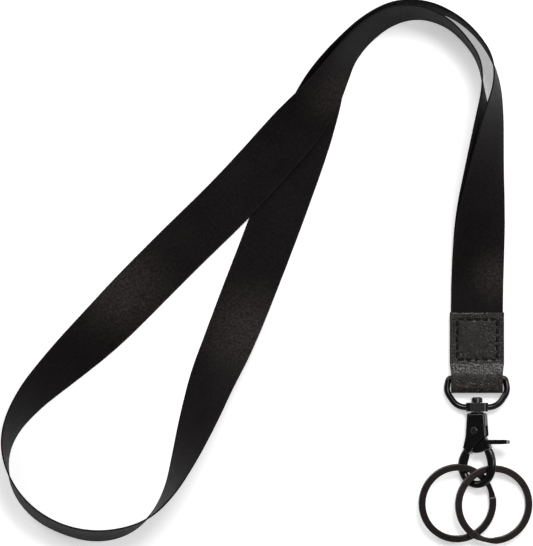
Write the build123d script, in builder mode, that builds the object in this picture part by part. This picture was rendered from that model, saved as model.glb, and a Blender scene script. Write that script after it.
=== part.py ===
"""A neck lanyard: satin ribbon, leather tab, D-ring, swivel trigger snap and two split key rings.

Millimetres, lying as on a table: +Z up, +Y from the hook towards the neck loop.
The origin is the centre of the stitched box, on the tab's back face.
"""

import os
from math import cos, pi, radians, sin, sqrt

from build123d import *

os.makedirs("parts", exist_ok=True)

# ---------------------------------------------------------------- ribbon
ribbon_width = 20.0
ribbon_thick = 0.6
cuts_per_bend = 2  # ruled lengths of ribbon for each bend of the route

# Hand-laid route of the ribbon's middle line: x, y, what lifts it off the table, and its twist
# in degrees. It starts and ends in the tab, and makes one full twist on the way round.
ribbon_route = [
    (0.0, -7.0, 1.93, 0), (0.0, 4.0, 1.93, 0), (0.0, 13.0, 1.9, 0), (0.2, 24.0, 1.2, 0),
    (0.8, 37.0, 1.2, 12), (1.8, 49.0, 1.1, 27), (3.0, 61.0, 0.3, 42), (4.5, 73.0, 0.1, 55),
    (6.0, 85.0, 0.05, 65), (7.5, 96.5, 0.05, 80), (5.7, 106.8, 0.05, 89), (-0.4, 116.0, 0.05, 90),
    (-9.0, 123.2, 0.05, 92), (-20.0, 127.5, 0.05, 95), (-32.0, 126.7, 0.05, 100),
    (-42.3, 120.2, 0.05, 106), (-50.5, 110.9, 0.05, 115), (-57.1, 99.8, 0.05, 135),
    (-62.2, 87.1, 0.05, 163), (-66.5, 73.4, 0.05, 178), (-72.0, 57.8, 0.05, 180),
    (-79.0, 38.8, 0.05, 180), (-86.6, 19.3, 0.05, 182), (-94.0, 0.3, 0.05, 195),
    (-100.7, -14.6, 0.05, 210), (-106.0, -29.5, 0.05, 224), (-111.2, -44.0, 0.05, 241),
    (-116.7, -57.5, 0.05, 258), (-124.3, -67.6, 0.05, 270), (-134.4, -73.4, 0.05, 282),
    (-146.0, -74.9, 0.05, 285), (-157.6, -72.2, 0.05, 283), (-168.0, -66.7, 0.05, 283),
    (-175.9, -57.7, 0.05, 279), (-179.6, -46.0, 0.05, 269), (-177.9, -34.3, 0.05, 254),
    (-170.0, -22.0, 0.05, 237), (-157.9, -10.1, 0.05, 220), (-143.2, 3.7, 0.05, 200),
    (-128.0, 19.5, 0.05, 183), (-111.8, 35.8, 0.1, 180), (-95.5, 51.5, 0.8, 180),
    (-81.3, 66.7, 1.3, 181), (-70.6, 78.8, 1.8, 189), (-64.8, 85.4, 1.9, 206),
    (-59.0, 92.9, 1.6, 221), (-54.7, 100.2, 0.8, 234), (-50.1, 108.4, 0.2, 245),
    (-43.2, 116.4, 0.05, 248), (-33.5, 123.2, 0.05, 251), (-22.0, 124.7, 0.05, 259),
    (-11.6, 120.6, 0.05, 265), (-4.7, 114.0, 0.05, 268), (0.8, 105.9, 0.05, 269),
    (2.1, 95.5, 0.05, 274), (2.0, 84.5, 0.05, 288), (2.2, 73.5, 0.05, 304), (1.8, 62.0, 0.05, 318),
    (1.1, 50.0, 0.05, 335), (0.7, 38.0, 0.05, 350), (0.3, 25.0, 0.15, 360), (0.0, 13.5, 1.03, 360),
    (0.0, 4.0, 1.03, 360), (0.0, -7.0, 1.03, 360),
]

# ---------------------------------------------------------------- leather tab
leather_thick = 1.0
tab_top = 10.3  # the end the ribbon leaves by
tab_half_width = 10.3
fold_half_width = 9.8  # narrower where it passes through the D-ring
box_half = 7.6  # stitched box, corner to centre line
front_inside = 2.6  # inner face of the front layer, over both plies of ribbon
bar_height = 2.4  # D-ring bar above the back face
bar_drop = 14.9  # D-ring bar below the stitched box's centre
tunnel_half = 1.4  # half the height of the fold's loop for the bar
fold_bottom = 20.3
ramp_top = 8.6  # where the front layer starts to rise over the bar
ramp_end = 13.4

stitches_per_side = 5
stitch_length = 2.5
stitch_width = 0.55
stitch_depth = 0.3
stitch_sink = 0.12  # how far a front stitch beds into the leather
pocket_gap = 0.04

# ---------------------------------------------------------------- D-ring
wire_radius = 1.2
bar_half = 10.8  # to the corners at the ends of the bar
ring_half_width = 11.75
ring_widest = 4.8  # down from the bar
ring_foot_half = 7.6
block_width = 8.4
block_height = 4.4
block_near = 9.3  # swivel block, measured down from the bar
block_far = 12.6

# ---------------------------------------------------------------- trigger snap
clasp_tilt = 3.4  # the snap climbs this much from the bar
snap_roll = 25.0  # and lies rolled about its swivel, right side up
pin_radius = 1.3
pin_head_radius = 2.15
pin_head_near = 7.2
pin_head_far = 9.15
pin_far = 16.0
swivel_clearance = 0.06
body_thick = 4.0
body_round = 0.8
arm_thick = 2.5
# The bow from its root to its tip: middle, across and down from the bar, heading, and width
bow_stations = [
    (-3.6, 23.5, -90, 1.4), (-3.9, 26.5, -100, 2.2), (-5.1, 29.6, -110, 3.7),
    (-5.95, 33.0, -90, 3.8), (-5.35, 36.6, -62, 3.3), (-3.1, 39.4, -32, 3.0),
    (0.0, 40.35, 0, 2.9), (3.1, 39.4, 32, 2.9), (5.35, 36.6, 62, 3.2), (6.0, 33.0, 90, 3.4),
    (5.5, 29.8, 106, 3.6), (4.45, 27.3, 112, 3.2),
]
body_top = 13.2
collar_radius = 2.5
collar_top = 12.75
slot_width = 2.2
slot_reach = 5.25  # round the pivot
pivot_x = -0.4
pivot_down = 19.9
pivot_radius = 0.9
rivet_head_radius = 1.35
rivet_head_thick = 0.2
lever_thick = 2.0
thumb_thick = 1.7
thumb_width = 3.4
thumb_end = 12.9
hub_recess = 2.4
spring_wire = 0.14
spring_radius = 1.45
spring_pitch = 0.31
spring_turns = 2
spring_seat = 0.22

# ---------------------------------------------------------------- split key rings
key_ring_outer = 15.0
key_ring_wide = 2.6
coil_thick = 0.78
coil_gap = 0.06
crossover = 34.0  # degrees over which the wire steps from one coil to the other
step_waist = 0.7  # how much narrower the wire is half-way over the step
# Middle of each ring, and how its plane climbs along X and Y
left_ring = ((-7.5, -62.3, 4.0), (-0.15, 0.06))
right_ring = ((6.3, -62.9, 3.95), (-0.18, 0.03))
left_ring_ends = 8.0  # direction of the wire ends, degrees
right_ring_ends = -120.0

bar_plane = Plane(
    origin=(0, -bar_drop, bar_height),
    x_dir=(1, 0, 0),
    z_dir=(0, sin(radians(clasp_tilt)), cos(radians(clasp_tilt))),
)
snap_plane = Plane(bar_plane.location * Location((0, 0, 0), (0, -snap_roll, 0)))
snap_axis = Axis(snap_plane.origin, snap_plane.y_dir)


def across(plane, down):
    """A plane square to the snap's length, facing away from the bar, this far down."""
    return Plane(origin=plane.from_local_coords((0, -down, 0)), x_dir=plane.x_dir,
                 z_dir=-plane.y_dir)


def turned_in_place(plane, angle):
    """The plane turned about its own normal."""
    return Plane(plane.location * Location((0, 0, 0), (0, 0, angle)))


def middle(first, second):
    return tuple((a + b) / 2 for a, b in zip(first, second))


def ribbon_stations():
    """Middle, twist and direction along the quadratic curve that the route controls."""
    last = len(ribbon_route) - 2
    for i in range(1, last + 1):
        before, here, after = ribbon_route[i - 1:i + 2]
        start = before if i == 1 else middle(before, here)
        end = after if i == last else middle(here, after)
        steps = cuts_per_bend + (i == last)
        for step in range(steps):
            t = step / cuts_per_bend
            weights = ((1 - t) ** 2, 2 * t * (1 - t), t * t)
            slopes = (2 * t - 2, 2 - 4 * t, 2 * t)
            x, y, lift, twist = (
                sum(w * p[n] for w, p in zip(weights, (start, here, end))) for n in range(4)
            )
            run = [sum(s * p[n] for s, p in zip(slopes, (start, here, end))) for n in range(2)]
            yield x, y, lift, radians(twist), run


def make_ribbon():
    with BuildPart() as ribbon:
        for x, y, lift, twist, (run_x, run_y) in ribbon_stations():
            length = sqrt(run_x ** 2 + run_y ** 2)
            left = (-run_y / length, run_x / length)
            rise = ribbon_width / 2 * abs(sin(twist)) + ribbon_thick / 2 * abs(cos(twist))
            width_way = (-left[0] * cos(twist), -left[1] * cos(twist), -sin(twist))
            station = Plane(origin=(x, y, rise + lift), x_dir=width_way,
                            z_dir=(run_x, run_y, 0))
            with BuildSketch(station):
                Rectangle(ribbon_width, ribbon_thick)
        loft(ruled=True)
    return ribbon.part


def stitch_places():
    """Centre and direction of each stitch round the box."""
    pitch = 2 * box_half / stitches_per_side
    for side in range(4):
        turn = 90 * side
        for n in range(stitches_per_side):
            along = (n + 0.5) * pitch - box_half
            x = along * cos(radians(turn)) - box_half * sin(radians(turn))
            y = along * sin(radians(turn)) + box_half * cos(radians(turn))
            yield x, y, turn


def stitch_row(height, grow=0.0):
    """All stitches of one face as one group of small bars, or grown a little, their pockets."""
    with BuildPart() as row:
        with BuildSketch(Plane.XY.offset(height)):
            for x, y, turn in stitch_places():
                with Locations(Location((x, y, 0), (0, 0, turn))):
                    SlotOverall(stitch_length + grow, stitch_width + grow)
        extrude(amount=stitch_depth + grow)
    return row.part


def make_tab(front_pockets, back_pockets):
    back_in = leather_thick
    fold_y = -fold_bottom + tunnel_half + leather_thick
    fold_in = (fold_y, bar_height - tunnel_half)
    over = bar_height + tunnel_half
    with BuildPart() as tab:
        with BuildSketch(Plane.YZ) as side:
            with BuildLine():
                Polyline((tab_top, 0), (fold_y, 0))
                ThreePointArc((fold_y, 0), (-fold_bottom, bar_height),
                              (fold_y, over + leather_thick))
                Polyline((fold_y, over + leather_thick), (-ramp_end, over + leather_thick),
                         (-ramp_top, front_inside + leather_thick),
                         (tab_top, front_inside + leather_thick), (tab_top, front_inside),
                         (-ramp_top, front_inside), (-ramp_end, over), (fold_y, over))
                ThreePointArc((fold_y, over), (fold_y - tunnel_half, bar_height), fold_in)
                Polyline(fold_in, (tab_top, back_in), (tab_top, 0))
            make_face()
        extrude(amount=tab_half_width, both=True)
        with BuildSketch(Plane.XY):
            with BuildLine():
                Polyline((-tab_half_width, tab_top), (tab_half_width, tab_top),
                         (tab_half_width, -ramp_top), (fold_half_width, -ramp_end),
                         (fold_half_width, -fold_bottom), (-fold_half_width, -fold_bottom),
                         (-fold_half_width, -ramp_end), (-tab_half_width, -ramp_top),
                         (-tab_half_width, tab_top))
            make_face()
        extrude(amount=over + 2 * leather_thick, mode=Mode.INTERSECT)
        add(front_pockets, mode=Mode.SUBTRACT)
        add(back_pockets, mode=Mode.SUBTRACT)
    return tab.part


def make_d_ring():
    low = (block_near + block_far) / 2
    left = [(-bar_half, 0), (-ring_half_width, -ring_widest), (-ring_foot_half, -low)]
    corners = left + [(-x, y) for x, y in reversed(left)]
    with BuildPart() as ring:
        with BuildLine(bar_plane) as loop:
            FilletPolyline(*corners, radius=[1.2, 5, 6, 6, 5, 1.2], close=True)
        with BuildSketch(Plane(origin=loop.line @ 0, z_dir=loop.line % 0)):
            Circle(wire_radius)
        sweep(path=loop.line)
        with BuildSketch(across(bar_plane, block_near)):
            RectangleRounded(block_width, block_height, 1.4)
        extrude(amount=block_far - block_near)
        with BuildSketch(across(bar_plane, block_near)):
            Circle(pin_radius + swivel_clearance)
        extrude(amount=block_far - block_near, mode=Mode.SUBTRACT)
    return ring.part


def make_swivel_pin():
    with BuildPart() as pin:
        with BuildSketch(across(snap_plane, pin_head_near)):
            Circle(pin_head_radius)
        extrude(amount=pin_head_far - pin_head_near)
        chamfer(pin.edges().sort_by(snap_axis)[-1], 0.5)
        with BuildSketch(across(snap_plane, pin_head_far)):
            Circle(pin_radius)
        extrude(amount=pin_far - pin_head_far)
    return pin.part


def make_bow():
    """The open hook itself, oval in section, from between the cheeks round to the tip."""
    with BuildPart() as bow:
        for x, down, heading, width in bow_stations:
            tip_ward = (cos(radians(heading)), sin(radians(heading)), 0)
            outward = (sin(radians(heading)), -cos(radians(heading)), 0)
            station = Plane(origin=(x, -down, 0), x_dir=outward, z_dir=tip_ward)
            with BuildSketch(Plane(snap_plane.location * station.location)):
                Ellipse(width / 2, arm_thick / 2)
        loft()
    return bow.part


def make_hook():
    """Two cheeks with a slot between them, running on into the bow."""
    bow = make_bow()
    with BuildPart() as hook:
        with BuildSketch(snap_plane):
            with BuildLine():
                Polyline((-3.6, -body_top), (3.6, -body_top), (4.2, -21.4), (3.1, -22.5),
                         (-1.4, -26.9), (-1.9, -28.0), (-3.2, -28.7), (-5.0, -26.4),
                         (-4.4, -24.0), (-3.6, -body_top))
            make_face()
        extrude(amount=body_thick / 2, both=True)
        shoulders = hook.edges().filter_by(Axis(snap_plane.origin, snap_plane.z_dir))
        fillet(shoulders.sort_by(snap_axis)[-2:], 0.9)
        flanks = hook.edges().filter_by(lambda edge: edge.length > 5)
        fillet(flanks.sort_by(snap_axis)[-6:], body_round)
        with BuildSketch(snap_plane):
            with Locations((pivot_x, -pivot_down)):
                Circle(hub_recess + 0.1)
            with Locations((pivot_x + spring_radius, -17.6)):
                Rectangle(0.6, 2.4)
            with BuildLine():
                Polyline((-2.85, -pivot_down), (-2.85, -25.6), (-1.6, -29.0), (8, -29.0),
                         (8, -18.3), (pivot_x, -17.5), (-2.85, -pivot_down))
            make_face()
        extrude(amount=slot_width / 2, both=True, mode=Mode.SUBTRACT)
        add(bow)
        with BuildSketch(across(snap_plane, collar_top)):
            Circle(collar_radius)
        extrude(amount=body_top - collar_top)
        with BuildSketch(across(snap_plane, collar_top)):
            Circle(pin_radius + 0.01)
        extrude(amount=pin_far + 0.05 - collar_top, mode=Mode.SUBTRACT)
        with BuildSketch(snap_plane):
            with Locations((pivot_x, -pivot_down)):
                Circle(pivot_radius + 0.01)
        extrude(amount=body_thick, both=True, mode=Mode.SUBTRACT)
    return hook.part


def make_lever():
    """Sprung gate: a hub between the cheeks, a nose over the hook's tip and a thumb piece."""
    fin_top, fin_low = 24.3 - thumb_thick / 2, 24.3 + thumb_thick / 2
    with BuildPart() as lever:
        with BuildSketch(snap_plane):
            with Locations((pivot_x, -pivot_down)):
                Circle(hub_recess - 0.2)
            with BuildLine():
                Polyline((-2.6, -pivot_down), (-2.6, -24.9), (-1.0, -27.0), (2.4, -26.6),
                         (4.3, -24.4), (4.3, -23.3), (1.6, -19.2), (-2.6, -pivot_down))
            make_face()
        extrude(amount=lever_thick / 2, both=True)
        with BuildSketch(snap_plane.offset(-0.1)):
            with Locations((pivot_x, -pivot_down)):
                Circle(hub_recess)
        extrude(amount=lever_thick, mode=Mode.SUBTRACT)
        with BuildSketch(snap_plane):
            with BuildLine():
                Polyline((3.62, -23.04), (4.6, -fin_top), (6.0, -fin_top), (6.0, -fin_low),
                         (5.2, -fin_low), (5.84, -26.5), (2.85, -27.75))
                ThreePointArc((2.85, -27.75), (0.9, -28.3), (-0.9, -28.35))
                Polyline((-0.9, -28.35), (-0.95, -26.75), (1.03, -24.8))
                ThreePointArc((1.03, -24.8), (2.62, -24.01), (3.62, -23.04))
            make_face()
        extrude(amount=arm_thick / 2, both=True)
        with BuildSketch(snap_plane.offset(-thumb_width / 2)):
            with Locations(((5.4 + thumb_end) / 2, -24.3)):
                SlotOverall(thumb_end - 5.4, thumb_thick)
        extrude(amount=thumb_width)
        with BuildSketch(snap_plane):
            with Locations((pivot_x, -pivot_down)):
                Circle(pivot_radius + 0.06)
        extrude(amount=body_thick, both=True, mode=Mode.SUBTRACT)
    return lever.part


def make_pivot_pin():
    outside = body_thick / 2
    with BuildPart() as pin:
        with BuildSketch(snap_plane):
            with Locations((pivot_x, -pivot_down)):
                Circle(pivot_radius)
        extrude(amount=outside, both=True)
        for side in (1, -1):
            with BuildSketch(snap_plane.offset(side * outside)):
                with Locations((pivot_x, -pivot_down)):
                    Circle(rivet_head_radius)
            extrude(amount=side * rivet_head_thick)
    return pin.part


def make_gate_spring():
    """Torsion spring round the pivot, made flat and then set into the slot."""
    coil_height = spring_pitch * spring_turns
    with BuildPart() as spring:
        with BuildLine():
            coil = Helix(spring_pitch, coil_height, spring_radius)
        with BuildSketch(Plane(origin=coil @ 0, z_dir=coil % 0)):
            Circle(spring_wire)
        sweep(path=coil)
        with BuildSketch(Plane(origin=coil @ 0, z_dir=(0, -1, 0))):
            Circle(spring_wire)
        extrude(amount=1.6)
        with BuildSketch(Plane(origin=coil @ 1, z_dir=(0, 1, 0))):
            Circle(spring_wire)
        extrude(amount=3.2)
    seat = Plane(
        origin=snap_plane.from_local_coords((pivot_x, -pivot_down, spring_seat)),
        x_dir=snap_plane.x_dir,
        z_dir=snap_plane.z_dir,
    )
    return seat.location * spring.part


def make_key_ring(place, ends):
    """One wire wound twice round, with a step from the lower coil to the upper one."""
    centre, (climb_x, climb_y) = place
    flat = Plane(origin=centre, x_dir=(1, 0, climb_x), z_dir=(-climb_x, -climb_y, 1))
    flat = turned_in_place(flat, ends)
    middle_radius = key_ring_outer - key_ring_wide / 2
    level = (coil_thick + coil_gap) / 2

    def section(angle, height):
        turned = turned_in_place(flat, angle)
        place = turned.from_local_coords((middle_radius, 0, height))
        return Plane(origin=place, x_dir=turned.x_dir, z_dir=turned.y_dir)

    with BuildPart() as ring:
        for height in (-level, level):
            with BuildSketch(section(crossover, height)):
                RectangleRounded(key_ring_wide, coil_thick, 0.25)
            revolve(axis=Axis(flat.origin, flat.z_dir), revolution_arc=360 - crossover)
        for step in range(5):
            t = step / 4
            climb = t * t * (3 - 2 * t)
            with BuildSketch(section(t * crossover, level * (2 * climb - 1))):
                RectangleRounded(key_ring_wide - step_waist * sin(pi * t), coil_thick, 0.25)
        loft()
    return ring.part


front_face = front_inside + leather_thick
front_stitching = stitch_row(front_face - stitch_sink)
back_stitching = stitch_row(0)
pieces = {
    "neck_strap": make_ribbon(),
    "leather_tab": make_tab(
        stitch_row(front_face - stitch_sink - pocket_gap, pocket_gap),
        stitch_row(0, pocket_gap),
    ),
    "front_stitching": front_stitching,
    "back_stitching": back_stitching,
    "d_ring": make_d_ring(),
    "swivel_pin": make_swivel_pin(),
    "hook_body": make_hook(),
    "gate_lever": make_lever(),
    "gate_pivot_pin": make_pivot_pin(),
    "gate_spring": make_gate_spring(),
    "key_ring_left": make_key_ring(left_ring, left_ring_ends),
    "key_ring_right": make_key_ring(right_ring, right_ring_ends),
}
for name, piece in pieces.items():
    piece.label = name
    export_step(piece, f"parts/{name}.step")
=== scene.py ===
"""How the neck lanyard looks: satin ribbon, grained leather, twisted thread and black hardware.

Metres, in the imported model's frame: +Z up from the table, +Y from the hook towards the neck
loop, and the origin on the back of the leather tab, in the middle of its stitched box.
"""

from math import cos, exp, pi, radians, sin

import bpy
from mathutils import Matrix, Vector, noise


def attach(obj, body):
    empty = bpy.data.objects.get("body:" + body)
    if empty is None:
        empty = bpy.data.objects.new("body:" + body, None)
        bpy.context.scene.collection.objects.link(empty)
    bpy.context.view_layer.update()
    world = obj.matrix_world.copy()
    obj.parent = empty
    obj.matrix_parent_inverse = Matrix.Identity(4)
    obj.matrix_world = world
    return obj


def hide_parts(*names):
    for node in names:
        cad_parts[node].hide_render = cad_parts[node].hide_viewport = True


mm = 0.001
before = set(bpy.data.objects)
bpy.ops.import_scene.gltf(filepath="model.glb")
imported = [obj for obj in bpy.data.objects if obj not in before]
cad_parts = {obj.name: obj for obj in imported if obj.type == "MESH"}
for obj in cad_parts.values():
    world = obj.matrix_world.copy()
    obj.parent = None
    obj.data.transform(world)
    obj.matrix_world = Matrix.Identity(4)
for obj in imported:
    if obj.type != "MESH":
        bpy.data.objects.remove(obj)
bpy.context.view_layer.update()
scene = bpy.context.scene

# ---------------------------------------------------------------- camera
view_middle = (-0.0802, 0.0253)
view_height = 1.7365
camera_data = bpy.data.cameras.new("camera")
camera_data.lens = 300
camera_data.sensor_width = 36
camera_data.clip_end = 20
camera = bpy.data.objects.new("camera", camera_data)
camera.location = (*view_middle, view_height)
scene.collection.objects.link(camera)
scene.camera = camera
scene.view_settings.view_transform = "Standard"

# ---------------------------------------------------------------- ribbon's sizes
ribbon_width = 20 * mm
ribbon_thick = 0.6 * mm
ribbon_body = 0.704  # thickness between the selvedges, as a share of the selvedges'
ribbon_columns = 16  # faces across it, between the selvedges
# Painted sheen: the satin's colour is lightened round these places, standing for light caught where
# the ribbon tilts.
painted_sheen_height = 3 * mm
painted_sheen_places = [  # painted sheen patches, lighter satin colour where the ribbon would catch light: x, y and reach
    (0.008, 0.024, 0.014), (-0.134, 0.018, 0.026), (-0.089, 0.004, 0.024), (-0.058, 0.095, 0.016),
]

# Route of the ribbon's middle line: x, y, what lifts it off the table, and its twist
# in degrees, as in the CAD model.
ribbon_route = [
    (0, -0.007, 0.00193, 0), (0, 0.004, 0.00193, 0), (0, 0.013, 0.0019, 0),
    (0.0002, 0.024, 0.0012, 0), (0.0008, 0.037, 0.0012, 12), (0.0018, 0.049, 0.0011, 27),
    (0.003, 0.061, 0.0003, 42), (0.0045, 0.073, 0.0001, 55), (0.006, 0.085, 0.00005, 65),
    (0.0075, 0.0965, 0.00005, 80), (0.0057, 0.1068, 0.00005, 89), (-0.0004, 0.116, 0.00005, 90),
    (-0.009, 0.1232, 0.00005, 92), (-0.02, 0.1275, 0.00005, 95), (-0.032, 0.1267, 0.00005, 100),
    (-0.0423, 0.1202, 0.00005, 106), (-0.0505, 0.1109, 0.00005, 115),
    (-0.0571, 0.0998, 0.00005, 135), (-0.0622, 0.0871, 0.00005, 163),
    (-0.0665, 0.0734, 0.00005, 178), (-0.072, 0.0578, 0.00005, 180), (-0.079, 0.0388, 0.00005, 180),
    (-0.0866, 0.0193, 0.00005, 182), (-0.094, 0.0003, 0.00005, 195),
    (-0.1007, -0.0146, 0.00005, 210), (-0.106, -0.0295, 0.00005, 224),
    (-0.1112, -0.044, 0.00005, 241), (-0.1167, -0.0575, 0.00005, 258),
    (-0.1243, -0.0676, 0.00005, 270), (-0.1344, -0.0734, 0.00005, 282),
    (-0.146, -0.0749, 0.00005, 285), (-0.1576, -0.0722, 0.00005, 283),
    (-0.168, -0.0667, 0.00005, 283), (-0.1759, -0.0577, 0.00005, 279),
    (-0.1796, -0.046, 0.00005, 269), (-0.1779, -0.0343, 0.00005, 254),
    (-0.17, -0.022, 0.00005, 237), (-0.1579, -0.0101, 0.00005, 220),
    (-0.1432, 0.0037, 0.00005, 200), (-0.128, 0.0195, 0.00005, 183),
    (-0.1118, 0.0358, 0.0001, 180), (-0.0955, 0.0515, 0.0008, 180), (-0.0813, 0.0667, 0.0013, 181),
    (-0.0706, 0.0788, 0.0018, 189), (-0.0648, 0.0854, 0.0019, 206), (-0.059, 0.0929, 0.0016, 221),
    (-0.0547, 0.1002, 0.0008, 234), (-0.0501, 0.1084, 0.0002, 245), (-0.0432, 0.1164, 0.00005, 248),
    (-0.0335, 0.1232, 0.00005, 251), (-0.022, 0.1247, 0.00005, 259),
    (-0.0116, 0.1206, 0.00005, 265), (-0.0047, 0.114, 0.00005, 268), (0.0008, 0.1059, 0.00005, 269),
    (0.0021, 0.0955, 0.00005, 274), (0.002, 0.0845, 0.00005, 288), (0.0022, 0.0735, 0.00005, 304),
    (0.0018, 0.062, 0.00005, 318), (0.0011, 0.05, 0.00005, 335), (0.0007, 0.038, 0.00005, 350),
    (0.0003, 0.025, 0.00015, 360), (0, 0.0135, 0.00103, 360), (0, 0.004, 0.00103, 360),
    (0, -0.007, 0.00103, 360),
]

# ---------------------------------------------------------------- tab's and thread's sizes
leather_thick = 1.0 * mm
tab_top = 10.3 * mm
tab_half_width = 10.3 * mm
fold_half_width = 9.8 * mm
ramp_top = 8.6 * mm  # how far below the origin the leather starts to rise over the bar
ramp_end = 13.4 * mm
front_face = 3.6 * mm  # height of the front leather's face above the table
tab_columns = 66  # faces across the leather
cut_columns = 3  # faces round each of its cut edges
box_half = 7.6 * mm
stitches_per_side = 5
stitch_length = 1.75 * mm
front_strand = 0.3 * mm  # radius of each strand of thread
back_strand = 0.2 * mm
front_thread_height = front_face - 0.02 * mm
back_thread_height = 0.29 * mm
floor_drop = 0.02 * mm


# ---------------------------------------------------------------- mesh tools
def spline_points(name, controls, steps=12):
    """Points along the smooth curve of order 3 that the control points set."""
    curve = bpy.data.curves.new(name, "CURVE")
    curve.dimensions = "3D"
    curve.resolution_u = steps
    spline = curve.splines.new("NURBS")
    spline.points.add(len(controls) - 1)
    for point, place in zip(spline.points, controls):
        point.co = (*place, 1)
    spline.order_u = 3
    spline.use_endpoint_u = True
    holder = bpy.data.objects.new(name, curve)
    scene.collection.objects.link(holder)
    line = bpy.data.meshes.new_from_object(holder)
    points = [vertex.co.copy() for vertex in line.vertices]
    bpy.data.objects.remove(holder)
    bpy.data.meshes.remove(line)
    return points


def evenly(points, step):
    """Points along the same line, about one step apart."""
    runs = [(b - a).length for a, b in zip(points, points[1:])]
    count = max(2, round(sum(runs) / step))
    spacing = sum(runs) / count
    spread = [points[0].copy()]
    travelled = 0.0
    i = 0
    for n in range(1, count):
        while travelled + runs[i] < n * spacing:
            travelled += runs[i]
            i += 1
        spread.append(points[i].lerp(points[i + 1], (n * spacing - travelled) / runs[i]))
    spread.append(points[-1].copy())
    return spread


def neighbours(line, i):
    """The points before and after a point of the line, or the point itself at an end."""
    return line[max(i - 1, 0)], line[min(i + 1, len(line) - 1)]


def smooth_step(low, high, value):
    t = min(1.0, max(0.0, (value - low) / (high - low)))
    return t * t * (3 - 2 * t)


def add_piece(name, vertices, faces, material, node):
    """A smooth-shaded piece that rides on the strap and stands for a CAD node."""
    mesh = bpy.data.meshes.new(name)
    mesh.from_pydata(vertices, [], faces)
    mesh.polygons.foreach_set("use_smooth", [True] * len(mesh.polygons))
    mesh.materials.append(material)
    piece = bpy.data.objects.new(name, mesh)
    scene.collection.objects.link(piece)
    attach(piece, "strap")
    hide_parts(node)
    return piece


def add_strip(name, stations, loops, material, node):
    """A piece made of one closed loop of points at each station, with its surface places.

    A station is its centre, its way across and its way out. A loop holds (across, out) pairs,
    and a surface place is (across, along) in millimetres, kept as the UV map "surface".
    """
    vertices, places = [], []
    along = 0.0
    for i, ((centre, across, out), loop) in enumerate(zip(stations, loops)):
        if i:
            along += (centre - stations[i - 1][0]).length
        for a, h in loop:
            vertices.append(centre + across * a + out * h)
            places.append((a / mm, along / mm))
    size = len(loops[0])
    faces = []
    for i in range(len(stations) - 1):
        for j in range(size):
            k = (j + 1) % size
            faces.append((i * size + j, i * size + k, (i + 1) * size + k, (i + 1) * size + j))
    last = (len(stations) - 1) * size
    faces.append(tuple(reversed(range(size))))
    faces.append(tuple(range(last, last + size)))
    piece = add_piece(name, vertices, faces, material, node)
    layer = piece.data.uv_layers.new(name="surface")
    for corner in piece.data.loops:
        layer.data[corner.index].uv = places[corner.vertex_index]
    return piece


def add_tube(vertices, faces, path, radius):
    """A round tube along the path, thinner at its ends, added to the lists."""
    sides = 8
    end_share = 0.6
    first = len(vertices)
    for i, here in enumerate(path):
        before, after = neighbours(path, i)
        way = (after - before).normalized()
        side = way.cross(Vector((0, 0, 1))).normalized()
        up = side.cross(way)
        size = radius * (end_share if i in (0, len(path) - 1) else 1)
        for j in range(sides):
            turn = 2 * pi * j / sides
            vertices.append(here + side * (size * cos(turn)) + up * (size * sin(turn)))
    for i in range(len(path) - 1):
        low = first + i * sides
        high = low + sides
        for j in range(sides):
            k = (j + 1) % sides
            faces.append((low + j, low + k, high + k, high + j))
    last = first + (len(path) - 1) * sides
    faces.append(tuple(first + j for j in reversed(range(sides))))
    faces.append(tuple(last + j for j in range(sides)))


# ---------------------------------------------------------------- material tools
def add_node(tree, kind, inputs=None, **settings):
    """A shader node with its settings, and each input given a value or linked to an output."""
    made = tree.nodes.new("ShaderNode" + kind)
    for name, value in settings.items():
        setattr(made, name, value)
    for name, value in (inputs or {}).items():
        if isinstance(value, bpy.types.NodeSocket):
            tree.links.new(value, made.inputs[name])
        else:
            made.inputs[name].default_value = value
    return made


def calculate(tree, operation, *values):
    return add_node(tree, "Math", dict(enumerate(values)), operation=operation).outputs[0]


def weighted_sum(tree, start, *terms):
    """The start value plus each term's value times the term's weight."""
    total = start
    for value, weight in terms:
        total = calculate(tree, "MULTIPLY_ADD", value, weight, total)
    return total


def arch(tree, value):
    """A round arch over each whole step of the value: 0 at the step's ends, 1 in its middle."""
    turn = calculate(tree, "MULTIPLY", calculate(tree, "FRACT", value), pi)
    return calculate(tree, "SINE", turn)


def between(tree, value, low, high):
    """The value, from 0 to 1, carried over to run from low to high."""
    return add_node(tree, "MapRange", {0: value, 3: low, 4: high}).outputs[0]


def share_of(tree, value, low, high, **settings):
    """How far the value has come from low, where it is 0, to high, where it is 1."""
    return add_node(tree, "MapRange", {0: value, 1: low, 2: high}, **settings).outputs[0]


def noise_value(tree, place, scale, detail, roughness=0.5):
    texture = add_node(tree, "TexNoise", {
        "Vector": place, "Scale": scale, "Detail": detail, "Roughness": roughness})
    return texture.outputs[0]


def start_material(name, **sockets):
    """A material with its shader's own sockets set, its tree, its shader and object places."""
    material = bpy.data.materials.new(name)
    material.use_nodes = True
    tree = material.node_tree
    shader = tree.nodes["Principled BSDF"]
    for socket, value in sockets.items():
        shader.inputs[socket.replace("_", " ")].default_value = value
    place = add_node(tree, "TexCoord").outputs["Object"]
    return material, tree, shader, place


def link_colour(tree, shader, share, first, second):
    """Colour the surface from the first colour, where the share is 0, to the second, at 1."""
    mix = add_node(tree, "Mix", {0: share, 6: (*first, 1), 7: (*second, 1)}, data_type="RGBA")
    tree.links.new(mix.outputs[2], shader.inputs["Base Color"])


def link_roughness(tree, shader, value):
    tree.links.new(value, shader.inputs["Roughness"])


def link_bump(tree, shader, height, strength, depth, rounded=None):
    """Bump the surface, over its own normals or over those of its rounded edges."""
    bump = add_node(tree, "Bump", {"Height": height, "Strength": strength, "Distance": depth})
    if rounded:
        tree.links.new(rounded, bump.inputs["Normal"])
    tree.links.new(bump.outputs[0], shader.inputs["Normal"])


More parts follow.
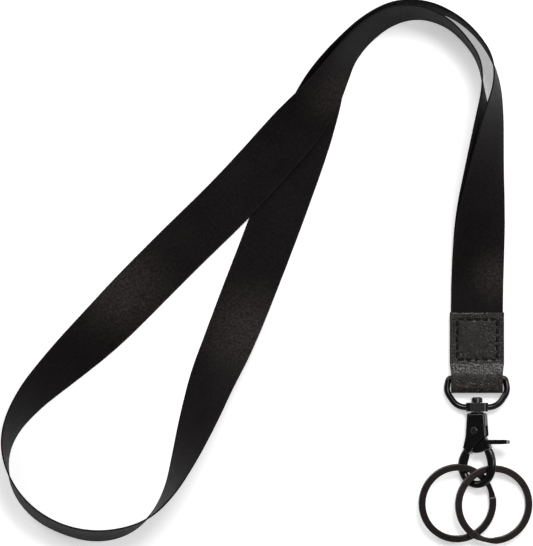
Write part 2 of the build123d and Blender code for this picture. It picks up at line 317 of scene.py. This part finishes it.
# ---------------------------------------------------------------- materials
def painted_sheen_mask(tree, place):
    """How much painted sheen the satin gets, rising to 1 in the middle of each painted sheen place.
    """
    lightened = 0.0
    # painted sheen: each place adds a soft round patch of lighter colour
    for x, y, reach in painted_sheen_places:
        away = add_node(tree, "VectorMath", {0: place, 1: (x, y, painted_sheen_height)},
                        operation="DISTANCE").outputs["Value"]
        near = share_of(tree, away, reach, 0.0, interpolation_type="SMOOTHSTEP")
        lightened = calculate(tree, "ADD", near, lightened)
    return lightened


def satin_material():
    """Warp-faced satin: long floats along the ribbon, stepped from thread to thread.

    Its selvedges and its speckle are a little lighter than the rest, and painted sheen lightens its
    colour at the listed patches. The threads' sizes are in millimetres, like the surface places.
    """
    thread_pitch = 0.24
    float_length = 1.3
    selvedge_start = 9.0
    selvedge_full = 9.5
    material, tree, shader, place = start_material(
        "ribbon_satin", Specular_IOR_Level=0.025, Sheen_Weight=0.01, Sheen_Roughness=0.35,
        Anisotropic=0.5)
    surface = add_node(tree, "UVMap", uv_map="surface").outputs[0]
    split = add_node(tree, "SeparateXYZ", {0: surface})
    across, along = split.outputs[0], split.outputs[1]
    thread = calculate(tree, "DIVIDE", across, thread_pitch)
    column = calculate(tree, "FLOOR", thread)
    floats = calculate(tree, "DIVIDE", along, float_length)
    lift = arch(tree, weighted_sum(tree, floats, (column, 0.4)))
    weave = calculate(tree, "MULTIPLY", arch(tree, thread), calculate(tree, "POWER", lift, 0.4))
    edge = share_of(tree, calculate(tree, "ABSOLUTE", across), selvedge_start, selvedge_full)
    cloud = noise_value(tree, place, 90.0, detail=3.0)
    fuzz = noise_value(tree, place, 2600.0, detail=2.0)
    speckle = share_of(tree, noise_value(tree, place, 1100.0, detail=3.0, roughness=0.75),
                       0.4, 0.64)
    # Painted sheen: the listed patches lighten the colour, speckled, where light would catch the
    # tilting ribbon.
    speckled_painted_sheen = calculate(tree, "MULTIPLY", painted_sheen_mask(tree, place),
                       weighted_sum(tree, 0.36, (speckle, 1.15)))
    shade = weighted_sum(tree, 0.0, (speckled_painted_sheen, 0.5), (speckle, 0.16), (edge, 0.08), (cloud, 0.14),
                         (weave, 0.1))
    link_colour(tree, shader, shade, (0.0024, 0.0021, 0.0023), (0.034, 0.0275, 0.0275))
    link_roughness(tree, shader, weighted_sum(tree, 0.36, (edge, 0.16), (cloud, 0.16)))
    link_bump(tree, shader, weighted_sum(tree, weave, (fuzz, 0.35)), strength=0.35,
              depth=0.05 * mm)
    tangent = add_node(tree, "Tangent", direction_type="UV_MAP", uv_map="surface")
    tree.links.new(tangent.outputs[0], shader.inputs["Tangent"])
    return material


def leather_material():
    """Pebbled grain with fine pores, and painted shade darkening its creases."""
    material, tree, shader, place = start_material("tab_leather", Specular_IOR_Level=0.34)
    wander = noise_value(tree, place, 700.0, detail=3.0)
    pebbles = add_node(tree, "TexVoronoi", {
        "Vector": place, "Scale": 1350.0, "Randomness": 1.0, "Smoothness": 0.3},
        feature="SMOOTH_F1").outputs["Distance"]
    creases = add_node(tree, "TexVoronoi", {"Vector": place, "Scale": 1200.0},
                       feature="DISTANCE_TO_EDGE").outputs["Distance"]
    crease = share_of(tree, creases, 0.0, 0.12)
    pores = noise_value(tree, place, 5200.0, detail=2.0)
    cloud = noise_value(tree, place, 160.0, detail=3.0)
    # Painted shade: the colour darkens towards the creases between the pebbles, on top of the
    # random tone.
    tone_and_crease_shade = calculate(tree, "MULTIPLY", crease,
                     weighted_sum(tree, 0.0, (cloud, 0.5), (wander, 0.7)))
    link_colour(tree, shader, tone_and_crease_shade, (0.0006, 0.0004, 0.0003), (0.0195, 0.0134, 0.0108))
    link_roughness(tree, shader, between(tree, pores, 0.14, 0.3))
    height = weighted_sum(tree, 0.0, (pores, 0.35), (pebbles, -1.1), (crease, 0.8))
    link_bump(tree, shader, height, strength=0.9, depth=0.08 * mm)
    return material


def edge_material():
    """The leather's cut edge: painted, fibrous and dull."""
    material, tree, shader, place = start_material("leather_edge", Specular_IOR_Level=0.35)
    fibres = noise_value(tree, place, 3800.0, detail=5.0, roughness=0.7)
    link_colour(tree, shader, fibres, (0.006, 0.005, 0.0046), (0.028, 0.023, 0.02))
    link_roughness(tree, shader, between(tree, fibres, 0.6, 0.85))
    link_bump(tree, shader, fibres, strength=0.5, depth=0.08 * mm)
    return material


def thread_material():
    """Waxed thread with fine fibres."""
    material, tree, shader, place = start_material(
        "waxed_thread", Specular_IOR_Level=0.15, Sheen_Weight=0.01)
    fibres = noise_value(tree, place, 7000.0, detail=3.0, roughness=0.6)
    link_colour(tree, shader, fibres, (0.0008, 0.0008, 0.0008), (0.004, 0.0038, 0.0038))
    link_roughness(tree, shader, between(tree, fibres, 0.45, 0.7))
    link_bump(tree, shader, fibres, strength=0.4, depth=0.03 * mm)
    return material


def metal_material(name, dark, worn, roughness, coat):
    """Plated metal: cloudy polish, fine scratches, and edges rubbed a little brighter."""
    wear = 0.7
    edge_radius = 0.4 * mm
    material, tree, shader, place = start_material(
        name, Metallic=1.0, Coat_Weight=coat, Coat_Roughness=0.12)
    cloud = noise_value(tree, place, 420.0, detail=4.0, roughness=0.6)
    stretched = add_node(tree, "Mapping", {"Vector": place, "Scale": (1.0, 0.12, 1.0)})
    scratches = noise_value(tree, stretched.outputs[0], 6500.0, detail=3.0, roughness=0.65)
    surface = add_node(tree, "NewGeometry")
    bevel = add_node(tree, "Bevel", {"Radius": edge_radius}, samples=8)
    flatness = add_node(tree, "VectorMath", {
        0: bevel.outputs[0], 1: surface.outputs["Normal"]}, operation="DOT_PRODUCT")
    edge = share_of(tree, flatness.outputs["Value"], 0.995, 0.9)
    lightened = calculate(tree, "MULTIPLY", edge, calculate(tree, "MULTIPLY", cloud, wear))
    link_colour(tree, shader, lightened, dark, worn)
    link_roughness(tree, shader, weighted_sum(
        tree, roughness - 0.11, (cloud, 0.22), (scratches, 0.06)))
    link_bump(tree, shader, weighted_sum(tree, cloud, (scratches, 0.25)), strength=0.12,
              depth=0.04 * mm, rounded=bevel.outputs[0])
    return material


def floor_material():
    """A white table that gives off some light of its own, so that it stays white."""
    material, tree, shader, place = start_material(
        "pale_floor", Specular_IOR_Level=0.1, Roughness=0.9, Emission_Color=(1, 1, 1, 1),
        Emission_Strength=0.4)
    speckle = noise_value(tree, place, 40.0, detail=2.0)
    link_colour(tree, shader, speckle, (0.93, 0.93, 0.93), (0.95, 0.95, 0.95))
    return material


# ---------------------------------------------------------------- ribbon
def ribbon_stations():
    """Centre, way across and way out of the ribbon all along its route."""
    line = spline_points("ribbon_line", [point[:3] for point in ribbon_route])
    roll = spline_points("ribbon_roll", [(radians(point[3]), 0, 0) for point in ribbon_route])
    stations = []
    for i, ((x, y, lift), (twist, _, _)) in enumerate(zip(line, roll)):
        before, after = neighbours(line, i)
        way = Vector((after.x - before.x, after.y - before.y, 0)).normalized()
        across = Vector((way.y * cos(twist), -way.x * cos(twist), -sin(twist)))
        rise = ribbon_width / 2 * abs(sin(twist)) + ribbon_thick / 2 * abs(cos(twist))
        stations.append((Vector((x, y, rise + lift)), across, across.cross(way)))
    return stations


def ribbon_section():
    """The plain section, thin with a thicker woven selvedge at each edge.

    Its (across, out) pairs are shares of the half width and of the half thickness.
    """
    selvedge = [(-1, 0), (-0.996, 0.6), (-0.985, 0.95), (-0.965, 1), (-0.945, 0.85),
                (-0.925, ribbon_body)]
    inner = [(-0.9 + 1.8 * i / ribbon_columns, ribbon_body) for i in range(ribbon_columns + 1)]
    top = selvedge + inner + [(-a, h) for a, h in reversed(selvedge)]
    return top + [(a, -h) for a, h in reversed(top[1:-1])]


def ribbon_loop(section, along, flatness):
    """The section this far along, with a wandering edge and a ripple.

    Flatness is 1 where the ribbon lies face up, -1 face down and 0 on its edge: the large ripple
    is there only where it lies, and goes mostly upwards.
    """
    edge_wander = 0.05 * mm
    edge_inset = 0.06 * mm
    small_ripple = 0.07 * mm
    large_ripple = 0.3 * mm
    wander_rate = 160  # of the noise, for each metre along the ribbon
    small_rate = 55
    large_rate = 32
    wander = noise.noise(Vector((along * wander_rate, 3.1, 0.7))) * edge_wander
    loop = []
    for a, h in section:
        ripple = noise.noise(Vector((along * small_rate, a * 0.9, 1.3))) * small_ripple
        raised = 0.5 + noise.noise(Vector((along * large_rate, a * 0.7, 5.9)))
        ripple += raised * large_ripple * flatness
        ripple *= 1 - abs(a) ** 4
        loop.append((a * (ribbon_width / 2 - edge_inset) + wander, h * ribbon_thick / 2 + ripple))
    return loop


def make_ribbon(material):
    """The whole ribbon: no large ripple inside the tab, and only a part of it just above."""
    tab_reach = 12 * mm
    stations = ribbon_stations()
    section = ribbon_section()
    along = 0.0
    loops = []
    for i, (centre, _, out) in enumerate(stations):
        if i:
            along += (centre - stations[i - 1][0]).length
        freedom = 1.0
        if abs(centre.x) < tab_half_width:
            freedom = smooth_step(tab_top, tab_top + tab_reach, centre.y)
        loops.append(ribbon_loop(section, along, out.z * freedom))
    ribbon = add_strip("ribbon", stations, loops, material, "neck_strap")


# ---------------------------------------------------------------- leather tab
def stitch_places():
    """Middle and direction of each stitch round the box."""
    pitch = 2 * box_half / stitches_per_side
    for side in range(4):
        turn = pi / 2 * side
        for n in range(stitches_per_side):
            s = (n + 0.5) * pitch - box_half
            x = s * cos(turn) - box_half * sin(turn)
            y = s * sin(turn) + box_half * cos(turn)
            yield x, y, turn


def stitch_holes():
    """Where the thread goes through: the ends of every stitch."""
    for x, y, turn in stitch_places():
        for end in (-0.5, 0.5):
            yield x + end * stitch_length * cos(turn), y + end * stitch_length * sin(turn)


def tab_relief(x, y, holes, channel):
    """How far the leather stands in or out at a place on a stitched face."""
    channel_reach = 0.42 * mm
    hole_reach = 0.3 * mm
    hole_depth = 0.15 * mm
    outer_drop = 0.06 * mm
    grain_size = 1.6 * mm
    grain_height = 0.018 * mm
    from_middle = max(abs(x), abs(y))
    pulled = channel * exp(-((from_middle - box_half) / channel_reach) ** 2)
    inside = smooth_step(box_half, 0.4 * box_half, from_middle)
    pricked = sum(exp(-((x - a) ** 2 + (y - b) ** 2) / hole_reach ** 2) for a, b in holes)
    grain = noise.noise(Vector((x, y, channel)) / grain_size) * grain_height
    return grain - pulled - hole_depth * min(1.0, pricked) - outer_drop * (1 - inside)


def tab_line():
    """The leather's middle line, side on: from the front free end round the bar and back."""
    front = front_face - leather_thick / 2
    back = leather_thick / 2
    fold_front = 4.3 * mm
    fold_end = -19.95 * mm
    line_step = 0.3 * mm
    side = [(tab_top, front), (4 * mm, front), (-3 * mm, front), (-ramp_top, front),
            (-10.8 * mm, front + 0.5 * mm), (-ramp_end, fold_front),
            (-16 * mm, fold_front + 0.05 * mm), (fold_end, fold_front), (fold_end, 2.4 * mm),
            (fold_end, back), (-16 * mm, back), (-8 * mm, back), (0, back), (tab_top, back)]
    return evenly(spline_points("tab_line", [(0, y, z) for y, z in side], steps=24), line_step)


def tab_stations():
    """Centre, way across and way out of the leather all along its middle line."""
    line = tab_line()
    across = Vector((1, 0, 0))
    stations = []
    for i, here in enumerate(line):
        before, after = neighbours(line, i)
        way = (after - before).normalized()
        stations.append((here, across, across.cross(way) * -1))
    return stations


def tab_loop(station, cut, holes):
    """The leather's section at a station: rounded cut edges and the stitched-in relief."""
    front_channel = 0.05 * mm
    back_channel = 0.24 * mm
    edge_wander = 0.05 * mm
    wander_size = 3 * mm
    edge_inset = 0.12 * mm
    edge_share = 0.72
    edge_fade = 0.6 * mm
    grain_size = 1.1 * mm
    grain_height = 0.016 * mm
    flat_enough = 0.98
    centre, _, out = station
    y = centre.y
    widening = smooth_step(-ramp_end, -ramp_top, y)
    half_width = fold_half_width + (tab_half_width - fold_half_width) * widening
    half_width += noise.noise(Vector((y / wander_size, 0, out.z))) * edge_wander
    half = leather_thick / 2 * cut
    stitched = abs(out.z) > flat_enough and y > -ramp_top - 1 * mm
    channel = front_channel if out.z > 0 else back_channel
    outer, inner = [], []
    for i in range(tab_columns + 1):
        a = (2 * i / tab_columns - 1) * (half_width - edge_inset)
        relief = tab_relief(a, y, holes, channel) if stitched else 0.0
        fade = smooth_step(0, edge_fade, half_width - abs(a))
        grain = noise.noise(Vector((a, y, centre.z)) / grain_size) * grain_height
        outer.append((a, half + (relief + grain) * fade))
        inner.append((a, -half))
    edge = [(half_width, half * edge_share), (half_width, -half * edge_share)]
    return outer + edge + inner[::-1] + [(-a, h) for a, h in reversed(edge)]


def make_tab(leather, edge):
    """The leather strip, thinner at its two ends, with the edge material on its cut faces."""
    end_cuts = (0.72, 0.95, 1.0)
    hole_range = 1 * mm
    stations = tab_stations()
    holes = list(stitch_holes())
    last = len(stations) - 1
    loops = []
    for i, station in enumerate(stations):
        nearby = [hole for hole in holes if abs(hole[1] - station[0].y) < hole_range]
        from_end = min(i, last - i)
        loops.append(tab_loop(station, end_cuts[min(from_end, 2)], nearby))
    tab = add_strip("leather_tab_grained", stations, loops, leather, "leather_tab")
    tab.data.materials.append(edge)
    size = len(loops[0])
    for face in tab.data.polygons:
        column = face.index % size
        on_right = tab_columns <= column < tab_columns + cut_columns
        on_left = column >= size - cut_columns
        on_end = len(face.vertices) > 4
        face.material_index = 1 if on_right or on_left or on_end else 0


def make_stitching(name, material, node, face_height, outward, strand_radius):
    """Twisted two-strand stitches, each dipping into its holes."""
    steps = 18
    dip_depth = 0.4 * mm
    half_length = 0.52 * stitch_length
    winding = 2.2  # half turns of the twist, from a stitch's middle to its end
    side_offset = 0.67 * strand_radius  # of a strand's middle from the stitch's own
    rise_offset = 0.3 * strand_radius
    vertices, faces = [], []
    for x, y, turn in stitch_places():
        way = Vector((cos(turn), sin(turn), 0))
        side = Vector((-sin(turn), cos(turn), 0))
        for strand in range(2):
            path = []
            for i in range(steps + 1):
                t = 2 * i / steps - 1
                height = face_height - outward * dip_depth * abs(t) ** 5
                wind = pi * (strand + winding * t)
                path.append(Vector((x, y, height)) + way * (t * half_length)
                            + side * (side_offset * cos(wind))
                            + Vector((0, 0, rise_offset * sin(wind))))
            add_tube(vertices, faces, path, strand_radius)
    add_piece(name, vertices, faces, material, node)


# ---------------------------------------------------------------- build
make_ribbon(satin_material())
make_tab(leather_material(), edge_material())
thread = thread_material()
make_stitching("front_stitches", thread, "front_stitching", front_thread_height, 1, front_strand)
make_stitching("back_stitches", thread, "back_stitching", back_thread_height, -1, back_strand)

gunmetal = metal_material(
    "black_nickel", (0.018, 0.0166, 0.017), (0.15, 0.14, 0.138), roughness=0.25, coat=0.3)
pin_metal = metal_material(
    "pin_metal", (0.035, 0.034, 0.035), (0.25, 0.24, 0.23), roughness=0.26, coat=0.5)
spring_metal = metal_material(
    "spring_metal", (0.2, 0.2, 0.205), (0.4, 0.4, 0.4), roughness=0.24, coat=0.0)
ring_metal = metal_material(
    "ring_metal", (0.034, 0.0265, 0.0258), (0.2, 0.165, 0.155), roughness=0.29, coat=0.35)
finishes = {
    "d_ring": gunmetal, "hook_body": gunmetal, "gate_lever": gunmetal,
    "swivel_pin": pin_metal, "gate_pivot_pin": pin_metal, "gate_spring": spring_metal,
    "key_ring_left": ring_metal, "key_ring_right": ring_metal,
}
for name, finish in finishes.items():
    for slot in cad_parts[name].material_slots:
        slot.material = finish

# ---------------------------------------------------------------- floor and light
floor_half = 3
floor_mesh = bpy.data.meshes.new("floor")
floor_mesh.from_pydata(
    [(-floor_half, -floor_half, 0), (floor_half, -floor_half, 0), (floor_half, floor_half, 0),
     (-floor_half, floor_half, 0)], [], [(0, 1, 2, 3)])
floor_mesh.materials.append(floor_material())
floor = bpy.data.objects.new("floor", floor_mesh)
floor.location.z = -floor_drop
scene.collection.objects.link(floor)

lamp_target = Vector((-0.06, 0.03, 0))


def add_lamp(name, place, size, power):
    """A rectangular lamp, aimed at the middle of the lanyard."""
    data = bpy.data.lights.new(name, "AREA")
    data.shape = "RECTANGLE"
    data.size, data.size_y = size
    data.energy = power
    lamp = bpy.data.objects.new(name, data)
    lamp.location = place
    lamp.rotation_euler = (lamp_target - Vector(place)).to_track_quat("-Z", "Y").to_euler()
    scene.collection.objects.link(lamp)


add_lamp("key_light", (0.2, 0.82, 1.45), size=(0.6, 0.45), power=14)
add_lamp("left_light", (-0.95, 0.95, 0.95), size=(0.7, 0.9), power=10)
add_lamp("right_light", (1.3, 0.45, 0.6), size=(0.5, 0.9), power=3)
add_lamp("strip_light", (0.42, 0.12, 0.95), size=(0.12, 0.7), power=2)
add_lamp("low_light", (0.3, -1.3, 0.75), size=(1.0, 0.5), power=1.5)

world = bpy.data.worlds.new("studio")
world.use_nodes = True
background = world.node_tree.nodes["Background"]
background.inputs[0].default_value = (1, 1, 1, 1)
background.inputs[1].default_value = 0.15
scene.world = world
